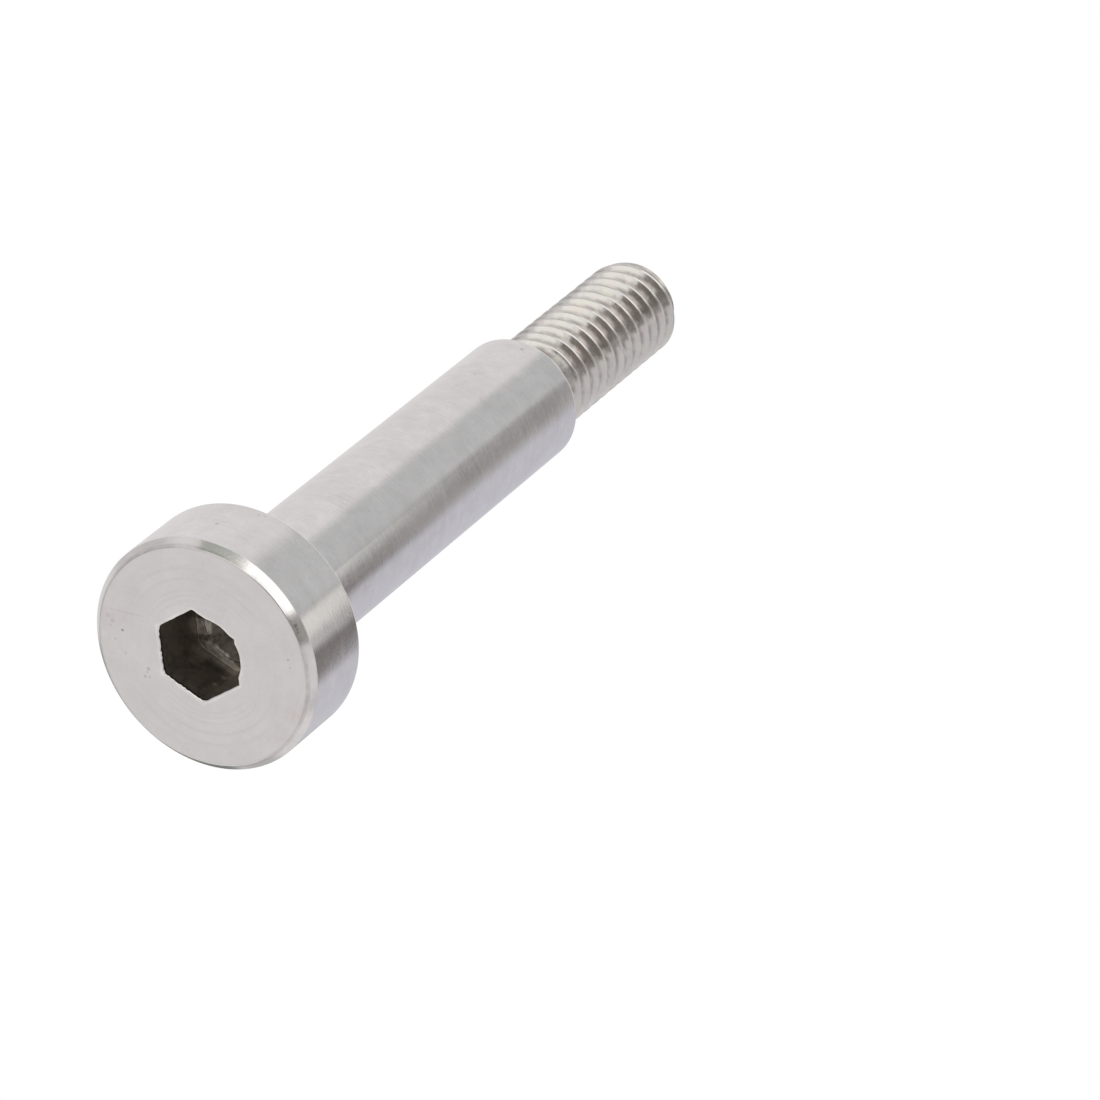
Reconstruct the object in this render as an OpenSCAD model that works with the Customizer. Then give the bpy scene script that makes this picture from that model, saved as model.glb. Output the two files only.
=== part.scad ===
// Shoulder bolt in stainless steel, turned from one bar: a plain cylindrical
// head with a hexagon socket, a smooth cylindrical shoulder and a shorter,
// thinner threaded end with a relief groove between the two.
// Millimetres. It stands on the flat face of its head, socket down, with its
// axis on +Z and the origin at the centre of that face.

/* [Head] */
// Diameter of the head
head_d = 8.85; // [8.4:0.05:9.2]
// Height of the head
head_h = 3.3; // [3.1:0.05:3.8]
// Width of the chamfer on the rim of the socket face
head_chamfer = 0.28; // [0.1:0.02:0.4]
// Width of the chamfer on the rim of the underside
head_back_chamfer = 0.15; // [0.06:0.01:0.3]

/* [Hexagon socket] */
// Size of the socket across its flats
hex_af = 3.02; // [2.6:0.02:3.2]
// Depth of the hexagon
hex_depth = 2.4; // [1.6:0.1:2.4]
// How far the hexagon sits off the axis, towards one of its flats
hex_shift = 0.16; // [0:0.01:0.2]
// Diameter of the round pilot hole under the hexagon
pilot_d = 2.88; // [2.6:0.02:3]
// Depth of the straight part of the pilot hole
pilot_depth = 2.5; // [2.5:0.05:2.8]
// How far the pilot hole sits off the axis, on each of X and Y
pilot_shift = 0.06; // [0:0.01:0.1]
// Point angle of the drill that left the cone at the end of the pilot hole
pilot_angle = 118; // [90:2:135]

/* [Shoulder] */
// Diameter of the shoulder
shoulder_d = 5.0; // [4.8:0.05:5.3]
// Length of the shoulder, from the head to the end face
shoulder_l = 20; // [12:0.5:30]
// Width of the chamfer at the end of the shoulder
shoulder_chamfer = 0.22; // [0.1:0.02:0.3]
// Nose radius of the tool that cut the corner under the head
corner_r = 0.3; // [0.25:0.01:0.35]
// How deep that tool went into the shoulder and into the head
corner_depth = 0.16; // [0.1:0.01:0.2]

/* [Threaded end] */
// Outer diameter of the thread
thread_d = 3.9; // [3.8:0.02:4]
// Length of the threaded end, relief groove included
thread_l = 9.8; // [7:0.1:12]
// Diameter of the relief groove
relief_d = 2.95; // [2.8:0.05:3.1]
// Length of the relief groove at its full depth
relief_l = 0.5; // [0.4:0.05:0.8]
// Radius in the corner between the relief groove and the shoulder's end face
relief_r = 0.22; // [0.15:0.01:0.28]
// Diameter of the flat face at the tip
tip_d = 2.85; // [2.7:0.05:3]
// Length of the chamfer at the tip
tip_l = 0.5; // [0.3:0.05:0.7]

/* [Hidden] */
$fn = 96;
head_r = head_d / 2;
shoulder_r = shoulder_d / 2;
thread_r = thread_d / 2;
relief_rad = relief_d / 2;
tip_r = tip_d / 2;
// heights of the steps along the axis, from the socket face
z_head = head_h;
z_shoulder = z_head + shoulder_l;
z_relief = z_shoulder + relief_l;
z_thread = z_relief + (thread_r - relief_rad);
z_tip = z_shoulder + thread_l;
// how far the round nose's centre stands off the two faces that it cuts
nose_off = corner_r - corner_depth;
// a little over the corner radius, so that the round cut runs just into both faces
relief_nose = relief_r + 0.012;
pilot_r = pilot_d / 2;
pilot_cone = pilot_r / tan(pilot_angle / 2);

// Half section of the turned bar, with the axis on the Y axis of the sketch
module bar_section() {
    difference() {
        polygon([
            [0, 0],
            [head_r - head_chamfer, 0],
            [head_r, head_chamfer],
            [head_r, z_head - head_back_chamfer],
            [head_r - head_back_chamfer, z_head],
            [shoulder_r, z_head],
            [shoulder_r, z_shoulder - shoulder_chamfer],
            [shoulder_r - shoulder_chamfer, z_shoulder],
            [relief_rad + relief_r, z_shoulder],
            [relief_rad, z_shoulder + relief_r],
            [relief_rad, z_relief],
            [thread_r, z_thread],
            [thread_r, z_tip - tip_l],
            [tip_r, z_tip],
            [0, z_tip]
        ]);
        // round undercut in the corner between the shoulder and the head
        translate([shoulder_r + nose_off, z_head + nose_off])
            circle(r = corner_r);
        // round corner between the relief groove and the shoulder's end face
        translate([relief_rad + relief_r, z_shoulder + relief_r])
            circle(r = relief_nose);
    }
}

// Broached hexagon over a drilled pilot hole that ends in a cone. The two are
// cut a little off centre to opposite sides, so the round hole shows past the
// flats on one side.
module socket_cut() {
    translate([0, hex_shift, -0.2])
        cylinder(r = hex_af / sqrt(3), h = hex_depth + 0.2, $fn = 6);
    translate([-pilot_shift, -pilot_shift, 0]) {
        translate([0, 0, -0.2])
            cylinder(r = pilot_r, h = pilot_depth + 0.2);
        translate([0, 0, pilot_depth])
            cylinder(r1 = pilot_r, r2 = 0, h = pilot_cone);
    }
}

module shoulder_bolt() {
    color([0.78, 0.77, 0.76])
        difference() {
            rotate_extrude() bar_section();
            socket_cut();
        }
}

shoulder_bolt();
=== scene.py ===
import bpy
import math
import numpy as np
from mathutils import Matrix, Vector


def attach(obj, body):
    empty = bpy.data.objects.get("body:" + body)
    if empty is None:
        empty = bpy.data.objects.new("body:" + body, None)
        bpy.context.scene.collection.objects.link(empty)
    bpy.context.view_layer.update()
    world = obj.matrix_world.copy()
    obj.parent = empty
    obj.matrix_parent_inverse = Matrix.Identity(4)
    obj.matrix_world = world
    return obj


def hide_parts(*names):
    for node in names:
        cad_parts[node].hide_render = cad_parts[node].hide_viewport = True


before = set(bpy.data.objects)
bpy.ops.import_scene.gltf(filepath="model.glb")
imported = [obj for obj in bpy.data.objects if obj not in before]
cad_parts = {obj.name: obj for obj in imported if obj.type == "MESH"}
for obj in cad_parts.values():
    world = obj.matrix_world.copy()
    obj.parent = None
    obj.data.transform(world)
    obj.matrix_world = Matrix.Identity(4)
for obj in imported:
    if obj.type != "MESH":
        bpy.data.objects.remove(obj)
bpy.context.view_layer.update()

TAU = 2 * math.pi

# ---------------------------------------------------------------------------
# Dimensions in millimetres, the same as the construction's
# ---------------------------------------------------------------------------
HEAD_R, HEAD_H, HEAD_CH, HEAD_BACK = 4.42, 3.3, 0.28, 0.15
HEX_AP, HEX_Z, HEX_Y = 1.51, 2.4, 0.16
PILOT_R, PILOT_Z, PILOT_X = 1.44, 2.46, -0.06
PILOT_TIP = PILOT_Z + PILOT_R / math.tan(math.radians(59))
SH_R, SH_Z, SH_CH = 2.5, 23.3, 0.22
UNDER_R, UNDER_C = 0.3, (2.64, 3.44)
REL_R, REL_Z, REL_FIL = 1.475, 23.8, 0.22
TH_R, TIP_R, TIP_Z, TIP_L = 1.95, 1.425, 33.1, 0.5
PITCH, ROOT_R, CREST = 0.7, 1.515, 0.035
CREST_Z, CREST_PHI = 24.54, math.radians(-136.71)
COLS = 176


# ---------------------------------------------------------------------------
# A welded mesh with its own bake map
# ---------------------------------------------------------------------------
class Skin:
    """Faces over welded points, with a place on the bake map for each corner."""

    def __init__(self):
        self.keys, self.points, self.faces, self.maps = {}, [], [], []

    def point(self, p):
        key = (round(p[0] * 4e4), round(p[1] * 4e4), round(p[2] * 4e4))
        if key not in self.keys:
            self.keys[key] = len(self.points)
            self.points.append((float(p[0]), float(p[1]), float(p[2])))
        return self.keys[key]

    def face(self, corners, places):
        ids, uvs = [], []
        for p, uv in zip(corners, places):
            i = self.point(p)
            if not ids or (i != ids[-1] and i != ids[0]) or (i not in ids):
                if i in ids:
                    continue
                ids.append(i)
                uvs.append(uv)
        if len(ids) > 2:
            self.faces.append(ids)
            self.maps.append(uvs)

    def band(self, low, high, uv_low, uv_high):
        """Quads between two closed loops of as many points; each map row has one more place than the loop."""
        n = len(low)
        for j in range(n):
            k = (j + 1) % n
            self.face(
                (low[j], low[k], high[k], high[j]),
                (uv_low[j], uv_low[j + 1], uv_high[j + 1], uv_high[j]),
            )

    def zipper(self, inner, outer, place, flip=False):
        """Triangles over a flat ring between two loops that have their own angles."""
        a_in = [math.atan2(p[1], p[0]) % TAU for p in inner]
        a_out = [math.atan2(p[1], p[0]) % TAU for p in outer]
        i0, o0 = int(np.argmin(a_in)), int(np.argmin(a_out))
        inner, a_in = inner[i0:] + inner[:i0], a_in[i0:] + a_in[:i0]
        outer, a_out = outer[o0:] + outer[:o0], a_out[o0:] + a_out[:o0]
        n, m, i, o = len(inner), len(outer), 0, 0
        while i < n or o < m:
            next_in = a_in[i + 1] if i + 1 < n else a_in[0] + TAU if i < n else 9e9
            next_out = a_out[o + 1] if o + 1 < m else a_out[0] + TAU if o < m else 9e9
            p, q = inner[i % n], outer[o % m]
            if next_in <= next_out:
                tri = (p, q, inner[(i + 1) % n])
                i += 1
            else:
                tri = (p, q, outer[(o + 1) % m])
                o += 1
            if flip:
                tri = tri[::-1]
            self.face(tri, [place(t) for t in tri])


def arc(cx, cz, r, a0, a1, n, skip_first=False):
    """Points of an arc in the (radius, height) plane, angles in degrees."""
    t = np.radians(np.linspace(a0, a1, n + 1))
    pts = [(cx + r * math.cos(v), cz + r * math.sin(v)) for v in t]
    return pts[1:] if skip_first else pts


def eased(pts, rounds, steps=4):
    """A profile whose marked corners are rounded: rounds is {index: radius}."""
    out = []
    for i, p in enumerate(pts):
        if i not in rounds:
            out.append(p)
            continue
        a, b, c = (np.array(pts[k], float) for k in (i - 1, i, i + 1))
        u, w = a - b, c - b
        lu, lw = np.linalg.norm(u), np.linalg.norm(w)
        u, w = u / lu, w / lw
        half = math.acos(max(-1, min(1, float(u @ w)))) / 2
        cut = min(rounds[i] / math.tan(half), 0.45 * lu, 0.45 * lw)
        r = cut * math.tan(half)
        mid = b + (u + w) / np.linalg.norm(u + w) * (r / math.sin(half))
        s, e = b + u * cut, b + w * cut
        a0 = math.atan2(*(s - mid)[::-1])
        a1 = math.atan2(*(e - mid)[::-1])
        turn = (a1 - a0 + math.pi) % TAU - math.pi
        for k in range(steps + 1):
            v = a0 + turn * k / steps
            out.append((mid[0] + r * math.cos(v), mid[1] + r * math.sin(v)))
    return out


theta = [TAU * j / COLS for j in range(COLS)]
wide = [TAU * j / COLS for j in range(COLS + 1)]


def loop_of(r, z):
    return [(r * math.cos(t), r * math.sin(t), z) for t in theta]


MAP = 36.0  # side of the bake map, in millimetres of surface


def at(u, v):
    return (u / MAP, v / MAP)


def disc(cx, cy, mirrored=False):
    """Flat places for points that face along the axis."""
    return lambda p: at(cx + (-p[0] if mirrored else p[0]), cy + p[1])


skin = Skin()

# --- the hexagon socket ----------------------------------------------------
# Broached a little off the axis; its corners are not equally sharp.
corner_round = (0.34, 0.42, 0.36, 0.12, 0.09, 0.05)
flat_off = (0.0, 0.0, 0.05, 0.0, 0.0, 0.0)  # flats at 30, 90, 150, 210, 270, 330


def hexagon():
    lines = []
    for k in range(6):
        a = math.radians(30 + 60 * k)
        n = np.array((math.cos(a), math.sin(a)))
        lines.append((n, HEX_AP + flat_off[k] + n @ np.array((0.0, HEX_Y))))
    pts = []
    for k in range(6):  # corner k lies between flat k-1 and flat k
        (n1, d1), (n2, d2) = lines[k - 1], lines[k]
        r = corner_round[k]
        mid = np.linalg.solve(np.array((n1, n2)), np.array((d1 - r, d2 - r)))
        a1, a2 = math.atan2(n1[1], n1[0]), math.atan2(n2[1], n2[0])
        turn = (a2 - a1) % TAU
        for s in range(6):
            v = a1 + turn * s / 5
            pts.append(mid + r * np.array((math.cos(v), math.sin(v))))
    return np.array(pts)


HEX = hexagon()


def r_hex(t):
    u = np.array((math.cos(t), math.sin(t)))
    a, b = HEX, np.roll(HEX, -1, 0)
    e = b - a
    det = u[0] * e[:, 1] - u[1] * e[:, 0]
    det = np.where(np.abs(det) < 1e-12, 1e-12, det)
    s = (a[:, 0] * e[:, 1] - a[:, 1] * e[:, 0]) / det
    w = (a[:, 0] * u[1] - a[:, 1] * u[0]) / det
    ok = (s > 0) & (w > -1e-9) & (w < 1 + 1e-9)
    return float(s[ok].max())


def r_pilot(t):
    ux, uy = math.cos(t), math.sin(t)
    b = ux * PILOT_X + uy * PILOT_X
    return b + math.sqrt(b * b - (2 * PILOT_X * PILOT_X - PILOT_R**2))


angles = set(round(math.atan2(p[1], p[0]) % TAU, 6) for p in HEX)
angles |= {round(TAU * (j + 0.5) / 216, 6) for j in range(216)}
dense = np.linspace(0, TAU, 7201)
diff = np.array([r_hex(t) - r_pilot(t) for t in dense])
for k in np.nonzero(np.diff(np.sign(diff)))[0]:
    lo, hi = dense[k], dense[k + 1]
    for _ in range(40):
        m = (lo + hi) / 2
        if (r_hex(m) - r_pilot(m)) * (r_hex(lo) - r_pilot(lo)) > 0:
            lo = m
        else:
            hi = m
    for d in (-0.012, 0.0, 0.012):
        angles.add(round((lo + d) % TAU, 6))
sock = sorted(angles)
sock = [t for i, t in enumerate(sock) if i == 0 or t - sock[i - 1] > 0.0035]
S = len(sock)
rs = [max(r_hex(t), r_pilot(t)) for t in sock]
rp = [r_pilot(t) for t in sock]


def rim_wave(t):
    """The broach tore the edge of the mouth a little on the left and lower left."""
    d = (math.degrees(t) - 70 + 180) % 360 - 180
    w = max(0.0, 1 - (d / 75) ** 2)
    k = 0.35 * math.sin(24 * t + 0.7) + 0.4 * math.sin(47 * t + 2.1) + 0.25 * math.sin(61 * t)
    return 0.04 * w * k + 0.005 * math.sin(17 * t + 1.0)


def sock_loop(radii, z):
    return [
        (r * math.cos(t), r * math.sin(t), z) for r, t in zip(radii, sock, strict=True)
    ]


def widths(radii, u0, v):
    """Places on the map for a loop of the socket, by angle."""
    scale = 1.62
    return [at(u0 + scale * t, v) for t in sock] + [at(u0 + scale * (sock[0] + TAU), v)]


# rows: (radii, z, place along the map)
mouth = [
    ([r + rim_wave(t) + 0.075 for r, t in zip(rs, sock)], 0.0),
    ([r + rim_wave(t) + 0.040 for r, t in zip(rs, sock)], 0.0045),
    ([r + rim_wave(t) + 0.015 for r, t in zip(rs, sock)], 0.018),
    ([r + 0.7 * rim_wave(t) + 0.004 for r, t in zip(rs, sock)], 0.042),
    ([r + 0.3 * rim_wave(t) for r, t in zip(rs, sock)], 0.11),
]
wall = [(rs, z) for z in (0.2, 0.6, 1.2, 1.8, 2.25)]
step = [
    ([p + (r - p) * 1.0 for r, p in zip(rs, rp)], HEX_Z - 0.02),
    ([p + (r - p) * 0.93 for r, p in zip(rs, rp)], HEX_Z),
    ([p + (r - p) * 0.5 for r, p in zip(rs, rp)], HEX_Z),
    ([p + (r - p) * 0.06 for r, p in zip(rs, rp)], HEX_Z),
    (rp, HEX_Z + 0.018),
    (rp, PILOT_Z - 0.02),
]
rows = mouth + wall + step
v, prev, made = 30.9, None, []
for radii, z in rows:
    if prev is not None:
        move = np.hypot(np.array(radii) - np.array(prev[0]), z - prev[1])
        v += max(float(move.mean()), 0.02)
    made.append((sock_loop(radii, z), widths(radii, 0.3, v)))
    prev = (radii, z)
for (a, ua), (b, ub) in zip(made, made[1:]):
    skin.band(b, a, ub, ua)
# the drilled cone, as a disc on the map
apex = (PILOT_X, PILOT_X, PILOT_TIP)
cone = [(p, PILOT_Z - 0.02) for p in ()]
last = made[-1][0]
cone_at = disc(14.0, 32.9)
ring = last
for share, z_off in ((0.985, 0.0), (0.8, None), (0.5, None), (0.22, None), (0.07, None)):
    z = PILOT_Z - 0.002 if z_off == 0.0 else PILOT_TIP - (PILOT_TIP - PILOT_Z) * share
    if share == 0.07:
        z -= 0.012
    nxt = [
        (apex[0] + (x - apex[0]) * share, apex[1] + (y - apex[1]) * share, z)
        for x, y, _ in last
    ]
    ua = [cone_at(p) for p in ring] + [cone_at(ring[0])]
    ub = [cone_at(p) for p in nxt] + [cone_at(nxt[0])]
    skin.band(nxt, ring, ub, ua)
    ring = nxt
tip_in = (apex[0], apex[1], PILOT_TIP - (PILOT_TIP - PILOT_Z) * 0.055)
for j in range(S):
    a, b = ring[j], ring[(j + 1) % S]
    skin.face((tip_in, b, a), [cone_at(tip_in), cone_at(b), cone_at(a)])

# --- the socket face ---------------------------------------------------------
face_at = disc(20.9, 20.6, mirrored=True)
mouth_loop = made[0][0]
halo = [
    ((r + 0.13) * math.cos(t), (r + 0.13) * math.sin(t), 0.0) for r, t in zip(rs, sock)
]
for j in range(S):
    k = (j + 1) % S
    quad = (mouth_loop[j], mouth_loop[k], halo[k], halo[j])
    skin.face(quad, [face_at(p) for p in quad])
inner_circle = loop_of(2.35, 0.0)
skin.zipper(halo, inner_circle, face_at, flip=True)
prev = inner_circle
for r in (3.0, 3.6, 4.05):
    cur = loop_of(r, 0.0)
    for j in range(COLS):
        k = (j + 1) % COLS
        quad = (prev[j], prev[k], cur[k], cur[j])
        skin.face(quad, [face_at(p) for p in quad])
    prev = cur

# --- head: chamfer, side, back chamfer --------------------------------------
head = eased(
    [
        (4.05, 0.0),
        (HEAD_R - HEAD_CH, 0.0),
        (HEAD_R, HEAD_CH),
        (HEAD_R, HEAD_H - HEAD_BACK),
        (HEAD_R - HEAD_BACK, HEAD_H),
        (4.0, HEAD_H),
    ],
    {1: 0.07, 2: 0.06, 3: 0.05, 4: 0.05},
)
mid_rows = []
for a, b in zip(head, head[1:]):
    mid_rows.append(a)
    if b[1] - a[1] > 1:
        mid_rows += [(a[0], a[1] + (b[1] - a[1]) * s) for s in (0.25, 0.5, 0.75)]
mid_rows.append(head[-1])
head = mid_rows


def lathe(profile, u0, v0, scale, along=1.0):
    """Bands of a turned profile. scale is the map's width per radian. Returns the map's next free height."""
    v, prev = v0, None
    for r, z in profile:
        if prev is not None:
            step_v = math.hypot(r - prev[0], z - prev[1]) * along
            a, b = loop_of(*prev), loop_of(r, z)
            ua = [at(u0 + scale * t, v) for t in wide]
            v += step_v
            ub = [at(u0 + scale * t, v) for t in wide]
            skin.band(a, b, ua, ub)
        prev = (r, z)
    return v


lathe(head, 0.3, 26.0, HEAD_R)

# --- underside of the head, flat --------------------------------------------
a_lo = -math.degrees(math.asin((UNDER_C[1] - HEAD_H) / UNDER_R))
edge_r = UNDER_C[0] + UNDER_R * math.cos(math.radians(a_lo))
under_at = disc(30.4, 20.6)
prev = loop_of(4.0, HEAD_H)
for r in (3.4, edge_r + 0.03):
    cur = loop_of(r, HEAD_H)
    for j in range(COLS):
        k = (j + 1) % COLS
        quad = (prev[j], prev[k], cur[k], cur[j])
        skin.face(quad, [under_at(p) for p in quad])
    prev = cur

# --- undercut, shoulder, its end face and the relief groove ------------------
under = arc(*UNDER_C, UNDER_R, a_lo - 4, -360 + 121.5, 22)
edge_z = UNDER_C[1] + math.sqrt(UNDER_R**2 - (SH_R - UNDER_C[0]) ** 2)
body = [(edge_r + 0.03, HEAD_H), (edge_r + 0.008, HEAD_H + 0.004), *under]
body += [(SH_R - 0.005, edge_z + 0.01), (SH_R, edge_z + 0.04)]
for s in (0.08, 0.25, 0.45, 0.65, 0.85):
    body.append((SH_R, edge_z + (SH_Z - SH_CH - edge_z) * s))
body += eased(
    [
        (SH_R, edge_z + (SH_Z - SH_CH - edge_z) * 0.85),
        (SH_R, SH_Z - SH_CH),
        (SH_R - SH_CH, SH_Z),
        (2.15, SH_Z),
    ],
    {1: 0.09, 2: 0.045},
)[1:]
body += [(1.9, SH_Z)]
body += arc(REL_R + REL_FIL, SH_Z + REL_FIL, REL_FIL, 270, 180, 8)
Z_A, Z_B = 23.62, TIP_Z - 0.03
body += [(REL_R, Z_A)]
lathe(body, 0.3, 0.3, SH_R)


# --- the rolled thread as one helical surface --------------------------------
def smin(a, b, k):
    h = max(k - abs(a - b), 0.0) / k
    return min(a, b) - h * h * k / 4


def thread_r(t, z):
    u = ((z - CREST_Z) / PITCH - (t - CREST_PHI) / TAU) % 1.0
    d = min(u, 1 - u) * PITCH
    wander = 0.006 * math.sin(7 * t + 5.1 * z) * math.sin(4 * t - 3.3 * z + 1) + 0.001 * math.sin(31 * t + 9 * z)
    r = TH_R + (CREST + wander - d) * 1.732
    r = smin(r, TH_R + 0.003, 0.05)
    r = -smin(-r, -ROOT_R, 0.12)
    env = min(
        REL_R + max(z - REL_Z, 0.0), TIP_R + (TIP_Z - z) * 1.05, TH_R + 0.02
    )
    return smin(r, env, 0.018)


half_steps = (0.0, 0.014, 0.025, 0.036, 0.048, 0.062, 0.085, 0.125, 0.17, 0.215, 0.25,
              0.28, 0.305, 0.33)
offs = [-x for x in reversed(half_steps[1:])] + list(half_steps) + [0.35]
J = len(offs)  # rows in a pitch


def row_z(m, j):
    k, i = divmod(m, J)
    z = CREST_Z + PITCH * (k + (TAU * j / COLS - CREST_PHI) / TAU) + offs[i]
    return min(max(z, Z_A), Z_B)


cache = {}


def helix_point(m, j):
    if j == COLS:
        m, j = m + J, 0
    if (m, j) not in cache:
        z, t = row_z(m, j), theta[j]
        # close to the groove the surface turns smoothly into the plain round relief
        r = REL_R if z <= Z_A else TIP_R + 0.03 * 1.05 if z >= Z_B else thread_r(t, z)
        cache[(m, j)] = (r * math.cos(t), r * math.sin(t), z)
    return cache[(m, j)]


m0 = J * math.floor((Z_A - CREST_Z) / PITCH - 3)
m1 = J * math.ceil((Z_B - CREST_Z) / PITCH + 2)
TU, TV, TS = 16.6, 0.3, 1.6
for m in range(m0, m1):
    for j in range(COLS):
        za, zb = row_z(m, j), row_z(m + 1, j)
        ya, yb = (
            (row_z(m, j + 1), row_z(m + 1, j + 1))
            if j + 1 < COLS
            else (row_z(m + J, 0), row_z(m + 1 + J, 0))
        )
        if za == zb and ya == yb:
            continue
        quad = (
            helix_point(m, j),
            helix_point(m, j + 1),
            helix_point(m + 1, j + 1),
            helix_point(m + 1, j),
        )
        u0, u1 = TU + TH_R * wide[j], TU + TH_R * wide[j + 1]
        skin.face(
            quad,
            (
                at(u0, TV + (za - Z_A) * TS),
                at(u1, TV + (ya - Z_A) * TS),
                at(u1, TV + (yb - Z_A) * TS),
                at(u0, TV + (zb - Z_A) * TS),
            ),
        )

# --- tip: rounded rim and a faced end with the spiral that the tool left ------
tip_at = disc(32.2, 3.0)
NIB = (0.16, -0.10)


def tip_z(x, y, r):
    """The faced end is dished by hundredths, with a nib a little off the centre."""
    d = math.hypot(x - NIB[0], y - NIB[1])
    a = math.atan2(y - NIB[1], x - NIB[0])
    turn = 0.5 + 0.5 * math.cos(TAU * (d / 0.17 - a / TAU))
    z = -0.034 + 0.012 * turn * max(0.0, 1 - (d / 0.75) ** 2)
    if d < 0.24:
        z += 0.016 * (0.5 + 0.5 * math.cos(math.pi * d / 0.24))
    rim = max(0.0, (r - 1.2) / 0.15)
    return z * max(0.0, 1 - min(rim, 1.0) ** 2 * (3 - 2 * min(rim, 1.0)))


rim_r = TIP_R + 0.03 * 1.05
prev = loop_of(rim_r, Z_B)
tip_rows = [(1.443, TIP_Z - 0.014), (1.425, TIP_Z - 0.004), (1.395, TIP_Z)]
for r, z in tip_rows:
    cur = loop_of(r, z)
    skin.band(
        prev, cur, [tip_at(p) for p in prev + prev[:1]], [tip_at(p) for p in cur + cur[:1]]
    )
    prev = cur
for r in (1.34, 1.27, 1.2, 1.1, 1.0, 0.9, 0.82, 0.74, 0.68, 0.62, 0.56, 0.5, 0.44, 0.39,
          0.34, 0.29, 0.24, 0.2, 0.16, 0.12, 0.08, 0.04):
    cur = []
    for t in theta:
        x, y = r * math.cos(t), r * math.sin(t)
        cur.append((x, y, TIP_Z + tip_z(x, y, r)))
    skin.band(
        prev, cur, [tip_at(p) for p in prev + prev[:1]], [tip_at(p) for p in cur + cur[:1]]
    )
    prev = cur
centre = (0.0, 0.0, TIP_Z + tip_z(0.0, 0.0, 0.0))
for j in range(COLS):
    a, b = prev[j], prev[(j + 1) % COLS]
    skin.face((a, b, centre), [tip_at(a), tip_at(b), tip_at(centre)])

# ---------------------------------------------------------------------------
# Into Blender, in metres, with normals weighted by the faces' areas, so that
# flats stay flat up to their rounded edges
# ---------------------------------------------------------------------------
pts = np.array(skin.points) / 1000.0
mesh = bpy.data.meshes.new("bolt_body")
mesh.from_pydata(pts.tolist(), [], skin.faces)
mesh.polygons.foreach_set("use_smooth", [True] * len(mesh.polygons))
layer = mesh.uv_layers.new(name="OFBake")
layer.data.foreach_set("uv", np.array([c for f in skin.maps for c in f], np.float32).ravel())
mesh.update()

normals = np.zeros((len(pts), 3))
for ids in skin.faces:
    q = pts[ids] * 1000.0
    n = np.zeros(3)
    for k in range(1, len(ids) - 1):
        n += np.cross(q[k] - q[0], q[k + 1] - q[0])
    normals[ids] += n
normals /= np.maximum(np.linalg.norm(normals, axis=1), 1e-12)[:, None]
mesh.normals_split_custom_set_from_vertices(normals.tolist())

bolt = bpy.data.objects.new("bolt_body", mesh)
bpy.context.scene.collection.objects.link(bolt)


# ---------------------------------------------------------------------------
# Node helpers
# ---------------------------------------------------------------------------
class Graph:
    def __init__(self, tree):
        self.tree = tree
        tree.nodes.clear()

    def new(self, kind, **props):
        n = self.tree.nodes.new(kind)
        for k, val in props.items():
            setattr(n, k, val)
        return n

    def put(self, socket, value):
        if isinstance(value, bpy.types.NodeSocket):
            self.tree.links.new(value, socket)
        elif value is not None:
            socket.default_value = value

    def math(self, op, a, b=None, c=None, clamp=False):
        n = self.new("ShaderNodeMath", operation=op, use_clamp=clamp)
        for i, val in enumerate((a, b, c)):
            if val is not None:
                self.put(n.inputs[i], val)
        return n.outputs[0]

    def vmath(self, op, a, b=None, scale=None):
        n = self.new("ShaderNodeVectorMath", operation=op)
        self.put(n.inputs[0], a)
        if b is not None:
            self.put(n.inputs[1], b)
        if scale is not None:
            self.put(n.inputs["Scale"], scale)
        return n.outputs["Value" if op in ("DOT_PRODUCT", "LENGTH", "DISTANCE") else 0]

    def smooth(self, x, low, high, a=0.0, b=1.0):
        """Eases from a to b as x goes from low to high."""
        n = self.new("ShaderNodeMapRange", interpolation_type="SMOOTHSTEP", clamp=True)
        if low > high:
            low, high, a, b = high, low, b, a
        for name, val in zip(("Value", "From Min", "From Max", "To Min", "To Max"), (x, low, high, a, b)):
            self.put(n.inputs[name], val)
        return n.outputs[0]

    def mix(self, fac, a, b):
        n = self.new("ShaderNodeMix", data_type="RGBA", clamp_factor=True)
        self.put(n.inputs[0], fac)
        for sock_, val in ((n.inputs[6], a), (n.inputs[7], b)):
            self.put(sock_, (*val, 1.0) if isinstance(val, tuple) and len(val) == 3 else val)
        return n.outputs[2]

    def lerp(self, fac, a, b):
        n = self.new("ShaderNodeMix", data_type="FLOAT", clamp_factor=True)
        self.put(n.inputs[0], fac)
        self.put(n.inputs[2], a)
        self.put(n.inputs[3], b)
        return n.outputs[0]

    def vec(self, x, y, z):
        n = self.new("ShaderNodeCombineXYZ")
        for s_, val in zip(n.inputs, (x, y, z)):
            self.put(s_, val)
        return n.outputs[0]

    def noise(self, vector, scale, detail=3.0, rough=0.5, dims="3D", w=None):
        n = self.new("ShaderNodeTexNoise", noise_dimensions=dims)
        if vector is not None:
            self.put(n.inputs["Vector"], vector)
        if w is not None:
            self.put(n.inputs["W"], w)
        self.put(n.inputs["Scale"], scale)
        self.put(n.inputs["Detail"], detail)
        self.put(n.inputs["Roughness"], rough)
        return n.outputs[0]


def lin(r, g=None, b=None):
    """Scene-linear colour of 0-255 values."""
    vals = (r, r, r) if g is None else (r, g, b)
    out = []
    for c in vals:
        c = c / 255
        out.append(c / 12.92 if c <= 0.04045 else ((c + 0.055) / 1.055) ** 2.4)
    return tuple(out)


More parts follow.
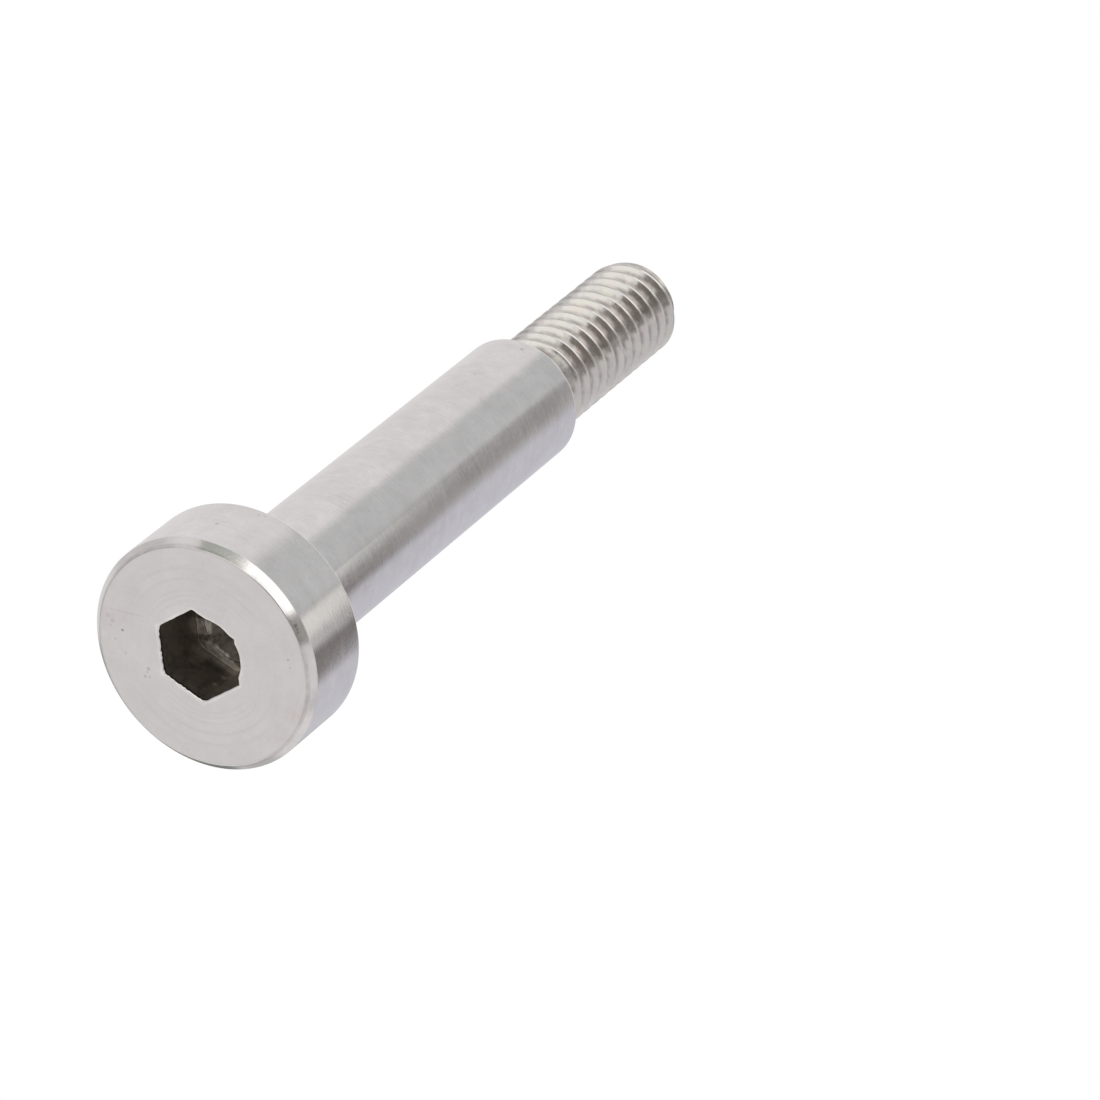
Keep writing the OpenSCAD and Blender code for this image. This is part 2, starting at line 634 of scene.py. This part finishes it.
# ---------------------------------------------------------------------------
# Stainless steel
# ---------------------------------------------------------------------------
STEEL = (0.80, 0.79, 0.78)
mat = bpy.data.materials.new("stainless_steel_turned")
mat.use_nodes = True
g = Graph(mat.node_tree)
out = g.new("ShaderNodeOutputMaterial")
bsdf = g.new("ShaderNodeBsdfPrincipled")
g.tree.links.new(bsdf.outputs[0], out.inputs["Surface"])
bsdf.inputs["Metallic"].default_value = 1.0

coord = g.new("ShaderNodeTexCoord")
P = g.vmath("SCALE", coord.outputs["Object"], scale=1000.0)
sep = g.new("ShaderNodeSeparateXYZ")
g.put(sep.inputs[0], P)
X, Y, Z = sep.outputs
R = g.math("SQRT", g.math("ADD", g.math("MULTIPLY", X, X), g.math("MULTIPLY", Y, Y)))
Rsafe = g.math("MAXIMUM", R, 0.001)
CX, CY = g.math("DIVIDE", X, Rsafe), g.math("DIVIDE", Y, Rsafe)
nsep = g.new("ShaderNodeSeparateXYZ")
g.put(nsep.inputs[0], coord.outputs["Normal"])
NZ = g.math("ABSOLUTE", nsep.outputs[2])

flat = g.smooth(NZ, 0.9, 0.97)
in_face = g.math("MULTIPLY", flat, g.smooth(Z, 0.03, 0.005))
socket = g.math(
    "MULTIPLY", g.smooth(Z, 0.012, 0.05), g.math("MULTIPLY", g.smooth(R, 2.3, 2.2), g.smooth(Z, 3.75, 3.6))
)
thread = g.math("MULTIPLY", g.smooth(Z, 23.75, 24.0), g.smooth(Z, 33.09, 33.05))
valley = g.math("MULTIPLY", thread, g.smooth(R, 1.82, 1.69))
crest = g.math("MULTIPLY", thread, g.smooth(R, 1.90, 1.935))

# tool marks: on the turned sides they run round the axis, on the faced ends they are rings
side_co = g.vec(g.math("MULTIPLY", CX, 1.3), g.math("MULTIPLY", CY, 1.3), g.math("MULTIPLY", Z, 9.0))
ring_co = g.vec(g.math("MULTIPLY", CX, 0.9), g.math("MULTIPLY", CY, 0.9), g.math("MULTIPLY", R, 7.5))
marks_side = g.noise(side_co, 1.0, 3.0, 0.62)
marks_ring = g.noise(ring_co, 1.0, 3.0, 0.6)
marks = g.lerp(flat, marks_side, marks_ring)
# grain of the ground surface, a little longer round the axis than along it
grain_co = g.vec(g.math("MULTIPLY", X, 9.0), g.math("MULTIPLY", Y, 9.0), g.math("MULTIPLY", Z, 15.0))
grain = g.noise(grain_co, 1.0, 2.0, 0.55)
cloud = g.noise(P, 0.55, 3.0, 0.5)
blotch = g.noise(P, 1.7, 3.0, 0.55)

# colour
tone = g.math("MULTIPLY_ADD", g.math("SUBTRACT", cloud, 0.5), 0.24, 1.0)
tone = g.math("ADD", tone, g.math("MULTIPLY", g.math("SUBTRACT", blotch, 0.5), g.lerp(flat, 0.26, 0.13)))
tone = g.math("ADD", tone, g.math("MULTIPLY", g.math("SUBTRACT", marks, 0.5), g.lerp(flat, 0.16, 0.08)))
tone = g.math("ADD", tone, g.math("MULTIPLY", g.math("SUBTRACT", grain, 0.5), g.lerp(in_face, 0.18, 0.10)))
# faint rings that the facing tool left, in two stretches of the face and on the tip
ring_noise = g.noise(None, 4.6, 3.0, 0.6, dims="1D", w=R)
rings_on = g.math("MULTIPLY", flat, g.math("MULTIPLY", g.smooth(R, 1.9, 2.2), g.smooth(R, 3.95, 3.2)))
rings_on = g.math("MULTIPLY", rings_on, g.smooth(g.math("ABSOLUTE", CX), 0.45, 0.85, 0.15, 1.0))
rings = g.math("MULTIPLY", rings_on, g.smooth(ring_noise, 0.47, 0.60))
tone = g.math("SUBTRACT", tone, g.math("MULTIPLY", rings, g.smooth(cloud, 0.4, 0.62, 0.018, 0.062)))
# the thread is duller than the ground sides
tone = g.math("MULTIPLY", tone, g.lerp(thread, 1.0, 0.92))
tone = g.math("MULTIPLY", tone, g.lerp(crest, 1.0, 0.90))
# the edge of the mouth is lighter: partly burnished by the key, partly a painted highlight on its burred edge
flats = None
for k in range(6):
    a = math.radians(30 + 60 * k)
    reach = HEX_AP + flat_off[k] + HEX_Y * math.sin(a)
    side = g.math("MULTIPLY_ADD", X, math.cos(a), g.math("MULTIPLY_ADD", Y, math.sin(a), -reach))
    flats = side if flats is None else g.math("MAXIMUM", flats, side)
round_side = g.vmath("DISTANCE", g.vec(X, Y, 0.0), (PILOT_X, PILOT_X, 0.0))
from_mouth = g.math("MINIMUM", flats, g.math("SUBTRACT", round_side, PILOT_R))
burnish_and_highlight = g.math("MULTIPLY", g.smooth(from_mouth, 0.17, 0.06), g.smooth(Z, 0.05, 0.03))
burnish_and_highlight = g.math("MULTIPLY", burnish_and_highlight, g.smooth(blotch, 0.35, 0.6, 0.5, 1.0))
tone = g.math("MULTIPLY_ADD", burnish_and_highlight, 0.16, tone)
# a faint darker line where the facing cut meets the chamfer: painted shade where the face turns down into the chamfer
rim_shade_line = g.math("MULTIPLY", g.smooth(R, 4.05, 4.17), g.smooth(R, 4.26, 4.20))
rim_shade_line = g.math("MULTIPLY", rim_shade_line, g.smooth(Z, 0.24, 0.18))
tone = g.math("SUBTRACT", tone, g.math("MULTIPLY", rim_shade_line, g.smooth(blotch, 0.35, 0.65, 0.09, 0.24)))
n = g.new("ShaderNodeVectorMath", operation="SCALE")
n.inputs[0].default_value = STEEL
g.put(n.inputs["Scale"], tone)
colour = n.outputs[0]


def spot(x, y, z, inner, outer):
    """1 within inner millimetres of a point, easing to 0 at outer."""
    d = g.vmath("DISTANCE", P, (x, y, z))
    return g.smooth(d, outer, inner)


def stain(mask, tint):
    global colour
    colour = g.mix(mask, colour, tint)


ragged = g.noise(P, 4.5, 3.0, 0.6)
# warm stains near the rim of the face
for x, y, size, power in ((-0.97, 3.62, 0.75, 0.34), (-1.23, 2.9, 0.5, 0.2), (1.65, -3.63, 0.7, 0.4),
                          (2.6, -2.9, 0.5, 0.22), (2.1, 2.6, 0.6, 0.16)):
    reach = g.math("MULTIPLY", spot(x, y, 0, 0.15 * size, size), g.smooth(ragged, 0.35, 0.62))
    stain(g.math("MULTIPLY", reach, power), (0.74, 0.61, 0.60))
# specks
for x, y, z, size, power in (
    (-0.577, 3.158, 0, 0.05, 0.8), (0.79, 2.28, 0, 0.065, 0.42), (1.10, 2.45, 0, 0.06, 0.36),
    (1.10, 2.26, 0, 0.055, 0.3), (0.93, 2.36, 0, 0.05, 0.2), (-0.88, 3.52, 0, 0.08, 0.2),
    (-1.08, 3.70, 0, 0.09, 0.2), (-0.70, 3.60, 0, 0.06, 0.15), (0.31, 3.15, 0, 0.06, 0.15),
    (-1.72, -3.86, 0.12, 0.07, 0.85), (-1.60, -3.90, 0.12, 0.06, 0.7), (-1.49, -3.94, 0.12, 0.05, 0.5),
    (-0.97, -4.31, 2.97, 0.05, 0.3), (-4.28, -1.11, 2.86, 0.05, 0.3), (-4.22, -1.31, 2.93, 0.05, 0.25),
    (0.832, 4.064, 0, 0.05, 0.3), (-0.42, -3.48, 0, 0.045, 0.4),
    (-0.12, -3.52, 0, 0.04, 0.25), (-0.2, 3.5, 0, 0.04, 0.25),
    (-4.414, -0.212, 1.549, 0.06, 0.38), (-4.3, 1.02, 2.2, 0.05, 0.2),
    (-2.398, -0.708, 22.562, 0.06, 0.5), (-2.489, -0.233, 19.743, 0.055, 0.35),
    (-0.141, -2.496, 15.115, 0.05, 0.3), (1.4, 2.07, 9.5, 0.05, 0.5),
    (2.2, -1.2, 17.2, 0.05, 0.45), (0.6, 2.43, 20.6, 0.06, 0.5), (3.9, 2.08, 1.9, 0.05, 0.5),
):
    dot = g.math("MULTIPLY", spot(x, y, z, size * 0.4, size * 1.5), power)
    stain(dot, (0.24, 0.20, 0.18))
# a small light dot on the head's side beside a dark speck: a painted glint
stain(g.math("MULTIPLY", spot(-1.03, -4.30, 2.74, 0.02, 0.13), 0.6), (0.95, 0.94, 0.92))
# a faint scratch on the face
scratch = g.math("MULTIPLY", g.smooth(g.math("ABSOLUTE", g.math("MULTIPLY_ADD", Y, 0.069, g.math("ADD", X, 1.08))), 0.045, 0.015), g.smooth(Z, 0.02, 0.01))
scratch = g.math("MULTIPLY", scratch, g.math("MULTIPLY", g.smooth(Y, 2.1, 2.5), g.smooth(Y, 3.9, 3.6)))
stain(g.math("MULTIPLY", scratch, g.smooth(ragged, 0.4, 0.6, 0.05, 0.28)), (0.40, 0.35, 0.33))
# short scuffs round the shoulder, near the head
scuff_at = g.math("MULTIPLY", g.smooth(Z, 7.3, 7.9), g.smooth(Z, 9.3, 8.6))
scuff_far = g.math("MULTIPLY", g.smooth(Z, 16.6, 17.3), g.smooth(Z, 19.2, 18.4))
scuff_far = g.math("MULTIPLY", scuff_far, g.smooth(g.math("ABSOLUTE", g.math("ADD", CY, 0.28)), 0.22, 0.08, 0.0, 0.6))
scuff_at = g.math("MULTIPLY", g.math("ADD", scuff_at, scuff_far), g.smooth(CX, -0.78, -0.92))
scuff_co = g.vec(g.math("MULTIPLY", CX, 2.2), g.math("MULTIPLY", CY, 2.2), g.math("MULTIPLY", Z, 7.0))
scuffs = g.math("MULTIPLY", scuff_at, g.smooth(g.noise(scuff_co, 1.0, 2.0, 0.5), 0.52, 0.64))
stain(g.math("MULTIPLY", scuffs, 0.16), (0.42, 0.38, 0.36))

# flanks at the bottom of the thread are darker: partly dirt, partly painted shade of the deep grooves
grime_and_shade = g.math("MULTIPLY", valley, g.smooth(blotch, 0.3, 0.7, 0.65, 1.0))
colour = g.mix(grime_and_shade, colour, (0.45, 0.415, 0.395))
# faint warm and yellowish casts left by the cutting oil
cast = g.noise(P, 1.1, 2.0, 0.5)
colour = g.mix(g.smooth(cast, 0.50, 0.64, 0.0, 0.4), colour, (0.80, 0.78, 0.762))
colour = g.mix(g.smooth(cast, 0.48, 0.36, 0.0, 0.4), colour, (0.785, 0.785, 0.762))
colour = g.mix(g.math("MULTIPLY", thread, g.smooth(cast, 0.52, 0.66, 0.0, 0.5)), colour, (0.76, 0.705, 0.68))
colour = g.mix(g.math("MULTIPLY", thread, g.smooth(cast, 0.48, 0.36, 0.0, 0.5)), colour, (0.76, 0.75, 0.69))
# the socket's colour: oil and oxide, and painted shade darkening the deep recess; dull brown flats, a lighter ledge
# and pilot wall under them
dirt = g.smooth(g.noise(P, 2.6, 4.0, 0.6), 0.35, 0.65, 0.0, 1.0)
sock_col = g.mix(dirt, (0.31, 0.28, 0.25), (0.50, 0.45, 0.40))
# two flats that the light reaches: painted light, a lighter colour on them
lit_flats = g.math("MAXIMUM", spot(-0.75, 1.55, 0.9, 0.35, 0.95), spot(1.6, -0.1, 1.3, 0.3, 0.9))
sock_col = g.mix(g.math("MULTIPLY", lit_flats, 0.5), sock_col, (0.68, 0.62, 0.55))
# a dark band just inside the mouth's edge: painted shade
lip_shade = g.math("MULTIPLY", g.smooth(Z, 0.02, 0.035), g.smooth(Z, 0.16, 0.08))
sock_col = g.mix(g.math("MULTIPLY", lip_shade, 0.8), sock_col, (0.05, 0.045, 0.04))
# the floor: dark brown in the drilled cone, partly oxide and partly painted shade, with painted light catching the
# ledge round it
deep = g.smooth(Z, 2.385, 2.40)
sock_col = g.mix(deep, sock_col, g.mix(g.smooth(ragged, 0.36, 0.64), (0.12, 0.105, 0.09), (0.27, 0.24, 0.21)))
along = g.math("MULTIPLY_ADD", X, 0.596, g.math("MULTIPLY", Y, -0.803))
across = g.math("MULTIPLY_ADD", X, 0.803, g.math("MULTIPLY", Y, 0.596))
across = g.math("MULTIPLY_ADD", g.math("SUBTRACT", ragged, 0.5), 0.18, across)
# the drilled cone is darker than the ledge: painted shade
cone = g.math("MULTIPLY", g.smooth(Z, 2.42, 2.47), g.smooth(along, -0.55, -0.15))
sock_col = g.mix(g.math("MULTIPLY", cone, 0.7), sock_col, (0.10, 0.088, 0.076))
# painted light where it catches the ledge, lighter towards one side
lit_ledge = g.math("MULTIPLY", deep, g.smooth(across, 1.24, 1.34))
lit_ledge = g.math("MULTIPLY", lit_ledge, g.smooth(along, -0.95, -0.35, 0.1, 1.0))
lit_ledge_col = g.mix(g.smooth(ragged, 0.35, 0.65), (0.29, 0.28, 0.255), (0.53, 0.52, 0.485))
lit_ledge_col = g.mix(g.smooth(along, 0.1, 0.9), lit_ledge_col, (0.60, 0.58, 0.535))
sock_col = g.mix(lit_ledge, sock_col, lit_ledge_col)
# a painted pool of light on the floor of the socket
lit_tile = g.math("MULTIPLY", deep, g.math("MULTIPLY", g.smooth(X, -0.20, -0.12), g.smooth(X, 0.47, 0.41)))
lit_tile = g.math("MULTIPLY", lit_tile, g.smooth(Y, 1.14, 1.22))
sock_col = g.mix(lit_tile, sock_col, g.mix(g.smooth(ragged, 0.4, 0.6), (0.40, 0.38, 0.35), (0.62, 0.60, 0.56)))
# two small painted glints on the socket's wall
for x, y, z in ((1.63, 0.35, 1.70), (1.63, 0.36, 1.13)):
    sock_col = g.mix(spot(x, y, z, 0.04, 0.15), sock_col, (0.92, 0.88, 0.82))
colour = g.mix(socket, colour, sock_col)
g.put(bsdf.inputs["Base Color"], colour)

# roughness
rough = g.math("MULTIPLY_ADD", g.math("SUBTRACT", cloud, 0.5), 0.10, 0.135)
rough = g.math("ADD", rough, g.math("MULTIPLY", g.math("SUBTRACT", marks, 0.5), 0.08))
rough = g.math("ADD", rough, g.math("MULTIPLY", g.math("SUBTRACT", grain, 0.5), 0.08))
rough = g.math("ADD", rough, g.math("MULTIPLY", in_face, 0.05))
rough = g.math("ADD", rough, g.math("MULTIPLY", thread, 0.045))
rough = g.math("ADD", rough, g.math("MULTIPLY", valley, 0.06))
rough = g.math("ADD", rough, g.math("MULTIPLY", g.math("ADD", rings, scuffs), 0.04))
rough = g.lerp(socket, rough, 0.46)
rough = g.math("MAXIMUM", rough, 0.06)
g.put(bsdf.inputs["Roughness"], rough)

# relief
height = g.math("ADD", g.math("MULTIPLY", marks, 0.55), g.math("MULTIPLY", grain, 0.9))
height = g.math("ADD", height, g.math("MULTIPLY", blotch, 0.9))
height = g.math("ADD", height, g.math("MULTIPLY", g.math("MULTIPLY", thread, ragged), 2.5))
height = g.math("ADD", height, g.math("MULTIPLY", g.math("MULTIPLY", socket, ragged), 6.0))
bump = g.new("ShaderNodeBump")
bump.inputs["Strength"].default_value = 1.0
bump.inputs["Distance"].default_value = 1.4e-6
g.put(bump.inputs["Height"], height)
g.put(bsdf.inputs["Normal"], bump.outputs[0])

mesh.materials.append(mat)
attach(bolt, "root")
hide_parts("shoulder_bolt")

# ---------------------------------------------------------------------------
# Floor: pale, plain, and open from beneath, because the bolt stands on its
# head and the photograph looks at the face that it stands on
# ---------------------------------------------------------------------------
floor_mesh = bpy.data.meshes.new("floor")
rings, segs = (0.05, 0.12, 0.25, 0.5, 1.0), 72
fv, ff = [(0.0, 0.0, 0.0)], []
for r in rings:
    fv += [(r * math.cos(TAU * j / segs), r * math.sin(TAU * j / segs), 0.0) for j in range(segs)]
for j in range(segs):
    k = (j + 1) % segs
    ff.append((0, 1 + j, 1 + k))
    for i in range(len(rings) - 1):
        a, b = 1 + i * segs, 1 + (i + 1) * segs
        ff.append((a + j, b + j, b + k, a + k))
floor_mesh.from_pydata(fv, [], ff)
floor = bpy.data.objects.new("floor", floor_mesh)
floor.location = (0, 0, -0.00002)
bpy.context.scene.collection.objects.link(floor)
fm = bpy.data.materials.new("floor_paper")
fm.use_nodes = True
g = Graph(fm.node_tree)
out = g.new("ShaderNodeOutputMaterial")
paper = g.new("ShaderNodeBsdfDiffuse")
paper.inputs["Color"].default_value = (0.86, 0.86, 0.86, 1)
clear = g.new("ShaderNodeBsdfTransparent")
both = g.new("ShaderNodeMixShader")
geo = g.new("ShaderNodeNewGeometry")
co = g.new("ShaderNodeTexCoord")
dist = g.vmath("LENGTH", co.outputs["Object"])
fade = g.smooth(dist, 0.10, 0.55)
g.put(both.inputs[0], g.math("MAXIMUM", geo.outputs["Backfacing"], fade))
g.tree.links.new(paper.outputs[0], both.inputs[1])
g.tree.links.new(clear.outputs[0], both.inputs[2])
g.tree.links.new(both.outputs[0], out.inputs["Surface"])
floor_mesh.materials.append(fm)
floor.visible_glossy = False
floor.visible_shadow = False

sun_data = bpy.data.lights.new("soft_key", "SUN")
sun_data.energy = 1.9
sun_data.angle = math.radians(38)
sun = bpy.data.objects.new("soft_key", sun_data)
sun.rotation_euler = (math.radians(34), math.radians(12), math.radians(20))
sun.visible_glossy = False
bpy.context.scene.collection.objects.link(sun)

# ---------------------------------------------------------------------------
# Studio surroundings: a pale tent with nineteen soft bright and dark fields,
# placed and toned so that the steel shows the bands of the photograph
# ---------------------------------------------------------------------------
world = bpy.data.worlds.new("studio")
bpy.context.scene.world = world
world.use_nodes = True
g = Graph(world.node_tree)
out = g.new("ShaderNodeOutputWorld")
bg = g.new("ShaderNodeBackground")
white = g.new("ShaderNodeBackground")
white.inputs["Color"].default_value = (1, 1, 1, 1)
path = g.new("ShaderNodeLightPath")
pick = g.new("ShaderNodeMixShader")
g.tree.links.new(path.outputs["Is Camera Ray"], pick.inputs[0])
g.tree.links.new(bg.outputs[0], pick.inputs[1])
g.tree.links.new(white.outputs[0], pick.inputs[2])
g.tree.links.new(pick.outputs[0], out.inputs["Surface"])
co = g.new("ShaderNodeTexCoord")
D = co.outputs["Generated"]
sep = g.new("ShaderNodeSeparateXYZ")
g.put(sep.inputs[0], D)
DX, DY, DZ = sep.outputs
flatlen = g.math(
    "MAXIMUM", g.math("SQRT", g.math("ADD", g.math("MULTIPLY", DX, DX), g.math("MULTIPLY", DY, DY))), 0.001
)
HX, HY = g.math("DIVIDE", DX, flatlen), g.math("DIVIDE", DY, flatlen)


def about(az):
    """Cosine of the angle round the axis from azimuth az."""
    a = math.radians(az)
    return g.math("ADD", g.math("MULTIPLY", HX, math.cos(a)), g.math("MULTIPLY", HY, math.sin(a)))


def azimuths(low, high, soft):
    """1 between two azimuths, easing to 0 over soft degrees outside them."""
    mid, half = (low + high) / 2, (high - low) / 2
    c = about(mid)
    return g.smooth(c, math.cos(math.radians(min(half + soft, 179.9))), math.cos(math.radians(half)))


def heights(low, high, soft):
    """1 between two elevations, easing to 0 over soft degrees outside them."""
    s = lambda e: math.sin(math.radians(max(-90, min(90, e))))
    a = g.smooth(DZ, s(low - soft), s(low)) if low > -90 else None
    b = g.smooth(DZ, s(high + soft), s(high)) if high < 90 else None
    if a is None:
        return b
    return a if b is None else g.math("MULTIPLY", a, b)


def patch(az, el, inner, outer):
    """1 within inner degrees of a direction, easing to 0 at outer."""
    a, e = math.radians(az), math.radians(el)
    d = g.vmath("DOT_PRODUCT", D, (math.cos(a) * math.cos(e), math.sin(a) * math.cos(e), math.sin(e)))
    return g.smooth(d, math.cos(math.radians(outer)), math.cos(math.radians(inner)))


def glow(r, gr=None, b=None):
    """Light that the steel shows as this 0-255 colour."""
    c = lin(r, gr, b)
    return tuple(x / s for x, s in zip(c, STEEL))


sky = None


def lay(mask, value):
    global sky
    sky = g.mix(mask, sky, value)


sky = g.mix(heights(-10, 90, 30), glow(200, 196, 195), glow(206, 202, 201))
# upper half: what the sides show in the photograph's view
up = g.math("MULTIPLY", g.smooth(DZ, math.sin(math.radians(14)), math.sin(math.radians(28))),
            g.smooth(DZ, math.sin(math.radians(72)), math.sin(math.radians(61))))
lay(g.math("MULTIPLY", up, azimuths(203, 272, 20)), glow(178, 177, 177))
lay(g.math("MULTIPLY", up, azimuths(308, 385, 24)), glow(184, 182, 188))
lay(heights(69, 90, 5), (1.20, 1.19, 1.17))
lay(g.math("MULTIPLY", heights(-14, 6, 8), azimuths(98, 128, 12)), glow(188, 184, 183))
lay(patch(46, 38, 8, 17), glow(142, 139, 137))
lay(patch(15, 11, 4, 16), glow(172, 169, 168))
# lower half
lay(g.math("MULTIPLY", heights(-24, -3, 7), azimuths(22, 44, 10)), (1.12, 1.11, 1.08))
around_face = g.math("MULTIPLY", patch(50, -49, 45, 56), g.smooth(patch(50, -49, 25, 38), 1.0, 0.0))
lay(g.math("MULTIPLY", around_face, azimuths(58, 112, 10)), glow(126, 123, 120))
lay(g.math("MULTIPLY", heights(-48, -22, 5), azimuths(155, 186, 3)), glow(155, 157, 151))
lay(g.math("MULTIPLY", heights(-48, -22, 5), azimuths(253, 275, 3)), glow(144, 141, 137))
lay(g.math("MULTIPLY", heights(-48, -26, 5), azimuths(194, 246, 2.5)), (1.42, 1.41, 1.38))
lay(g.math("MULTIPLY", heights(-75, -45, 6), azimuths(286, 375, 10)), glow(190, 185, 184))
lay(g.math("MULTIPLY", heights(-45, -29, 5), azimuths(326, 375, 10)), glow(190, 186, 185))
lay(g.math("MULTIPLY", heights(-90, -56, 4), azimuths(208, 290, 13)), glow(104, 96, 90))
lay(g.math("MULTIPLY", heights(-74, -40, 8), azimuths(134, 186, 12)), glow(235, 231, 225))
# level with the thread: light that its grooves pass on from flank to flank
level = heights(-4, 15, 5)
lay(g.math("MULTIPLY", level, azimuths(196, 250, 8)),
    g.mix(g.smooth(about(200), math.cos(math.radians(54)), math.cos(math.radians(18))), glow(176, 168, 162), (1.55, 1.50, 1.45)))
lay(g.math("MULTIPLY", level, azimuths(250, 264, 6)), glow(120, 113, 108))
lay(g.math("MULTIPLY", heights(-22, 10, 5), azimuths(284, 322, 10)), glow(186, 182, 183))
lay(patch(34, 28, 6, 14), glow(118, 119, 114))
g.put(bg.inputs["Color"], sky)

# A card hung near the bolt: the sides show it as the dark band and the thin
# streak that drift along the axis
card_mesh = bpy.data.meshes.new("studio_card")
card_mesh.from_pydata(
    [(-0.1, 0, 0.05), (0.07, 0, 0.05), (0.07, 0, 0.17), (-0.1, 0, 0.17)], [], [(0, 1, 2, 3)]
)
card = bpy.data.objects.new("studio_card", card_mesh)
card.rotation_euler = (0, 0, math.radians(300 + 90))
card.location = (0.06 * math.cos(math.radians(300)), 0.06 * math.sin(math.radians(300)), 0)
bpy.context.scene.collection.objects.link(card)
cm = bpy.data.materials.new("studio_card")
cm.use_nodes = True
g = Graph(cm.node_tree)
out = g.new("ShaderNodeOutputMaterial")
lit = g.new("ShaderNodeEmission")
clear = g.new("ShaderNodeBsdfTransparent")
both = g.new("ShaderNodeMixShader")
co = g.new("ShaderNodeTexCoord")
sep = g.new("ShaderNodeSeparateXYZ")
g.put(sep.inputs[0], g.vmath("SCALE", co.outputs["Object"], scale=1000.0))
CS, _, CH = sep.outputs
away = g.math("SQRT", g.math("MULTIPLY_ADD", CS, CS, 3600.0))
Q = g.math("SUBTRACT", CH, g.math("MULTIPLY", away, 1.2))


def curve(x, pairs):
    """A value that follows straight lines through (x, value) pairs."""
    n = g.new("ShaderNodeFloatCurve")
    xs = [p[0] for p in pairs]
    lo, hi = min(xs), max(xs)
    vals = [p[1] for p in pairs]
    vlo, vhi = min(vals), max(vals)
    span = max(vhi - vlo, 1e-6)
    c = n.mapping.curves[0]
    pts_ = [((a - lo) / (hi - lo), (b - vlo) / span) for a, b in pairs]
    c.points[0].location, c.points[1].location = pts_[0], pts_[-1]
    for q in pts_[1:-1]:
        c.points.new(*q)
    for q in c.points:
        q.handle_type = "AUTO_CLAMPED"
    n.mapping.update()
    t = g.math("DIVIDE", g.math("SUBTRACT", x, lo), hi - lo, clamp=True)
    g.put(n.inputs["Value"], t)
    return g.math("MULTIPLY_ADD", n.outputs[0], span, vlo)


# edges of the dark field, along s, for each height on the bolt
left = curve(Q, [(-5, -13), (-2, -15), (2, -33), (8, -33), (13, -50), (18, -69), (23, -67), (30, -58)])
right_ = curve(Q, [(-5, 21), (-2, 19), (2, 6), (8, 3), (14, 0), (19, -3), (24, -4), (30, 0)])
soft_l = curve(Q, [(-5, 7), (0, 7), (3, 16), (8, 19), (13, 33), (18, 12), (24, 13), (30, 14)])
soft_r = curve(Q, [(-5, 10), (9, 10), (18, 15), (30, 15)])
d_left = g.math("DIVIDE", g.math("SUBTRACT", CS, g.math("SUBTRACT", left, soft_l)), g.math("MULTIPLY", soft_l, 2.0), clamp=True)
d_right = g.math("DIVIDE", g.math("SUBTRACT", g.math("ADD", right_, soft_r), CS), g.math("MULTIPLY", soft_r, 2.0), clamp=True)
dark = g.math("MULTIPLY", g.smooth(d_left, 0.0, 1.0), g.smooth(d_right, 0.0, 1.0))
dark = g.math("MULTIPLY", dark, curve(Q, [(-5, 1.0), (-1, 1.0), (4, 0.94), (7, 0.86), (10, 0.64), (13, 0.58), (17, 0.76), (24, 0.78), (28, 0.55), (32, 0.3), (45, 0.3), (54, 0.0)]))
# the bright streak beside it
mid = curve(Q, [(-5, -39), (-2, -40), (2, -51), (9, -51)])
half_w = curve(Q, [(-5, 23), (-2, 21), (2, 9), (9, 9)])
off = g.math("DIVIDE", g.math("ABSOLUTE", g.math("SUBTRACT", CS, mid)), half_w)
streak = g.math("MULTIPLY", g.smooth(off, 1.25, 0.35), g.smooth(Q, 12.0, 7.0))
streak_col = g.mix(g.smooth(Q, -1.0, 3.0), glow(216, 212, 208), glow(190, 188, 183))
lit_col = g.mix(streak, glow(112, 106, 103), streak_col)
g.put(lit.inputs["Color"], lit_col)
g.put(both.inputs[0], g.math("MAXIMUM", dark, streak))
g.tree.links.new(clear.outputs[0], both.inputs[1])
g.tree.links.new(lit.outputs[0], both.inputs[2])
g.tree.links.new(both.outputs[0], out.inputs["Surface"])
card_mesh.materials.append(cm)
card.visible_camera = False
card.visible_diffuse = False
card.visible_transmission = False

# ---------------------------------------------------------------------------
# Camera at the photograph's viewing angle
# ---------------------------------------------------------------------------
cam_data = bpy.data.cameras.new("camera")
cam_data.lens = 193.4474776
cam_data.sensor_width = 36
cam_data.clip_start, cam_data.clip_end = 0.01, 10
cam = bpy.data.objects.new("camera", cam_data)
right = Vector((0.08329972, -0.88121899, 0.46531092))
top = Vector((-0.90660767, 0.12681578, 0.40246775))
rear = Vector((-0.41367099, -0.4553799, -0.78835618))
m = Matrix((right, top, rear)).transposed().to_4x4()
m.translation = Vector((-0.08654634669, -0.10276837211, -0.15339536457))
cam.matrix_world = m
bpy.context.scene.collection.objects.link(cam)
bpy.context.scene.camera = cam
bpy.context.scene.view_settings.view_transform = "Standard"
bpy.context.scene.view_settings.look = "None"
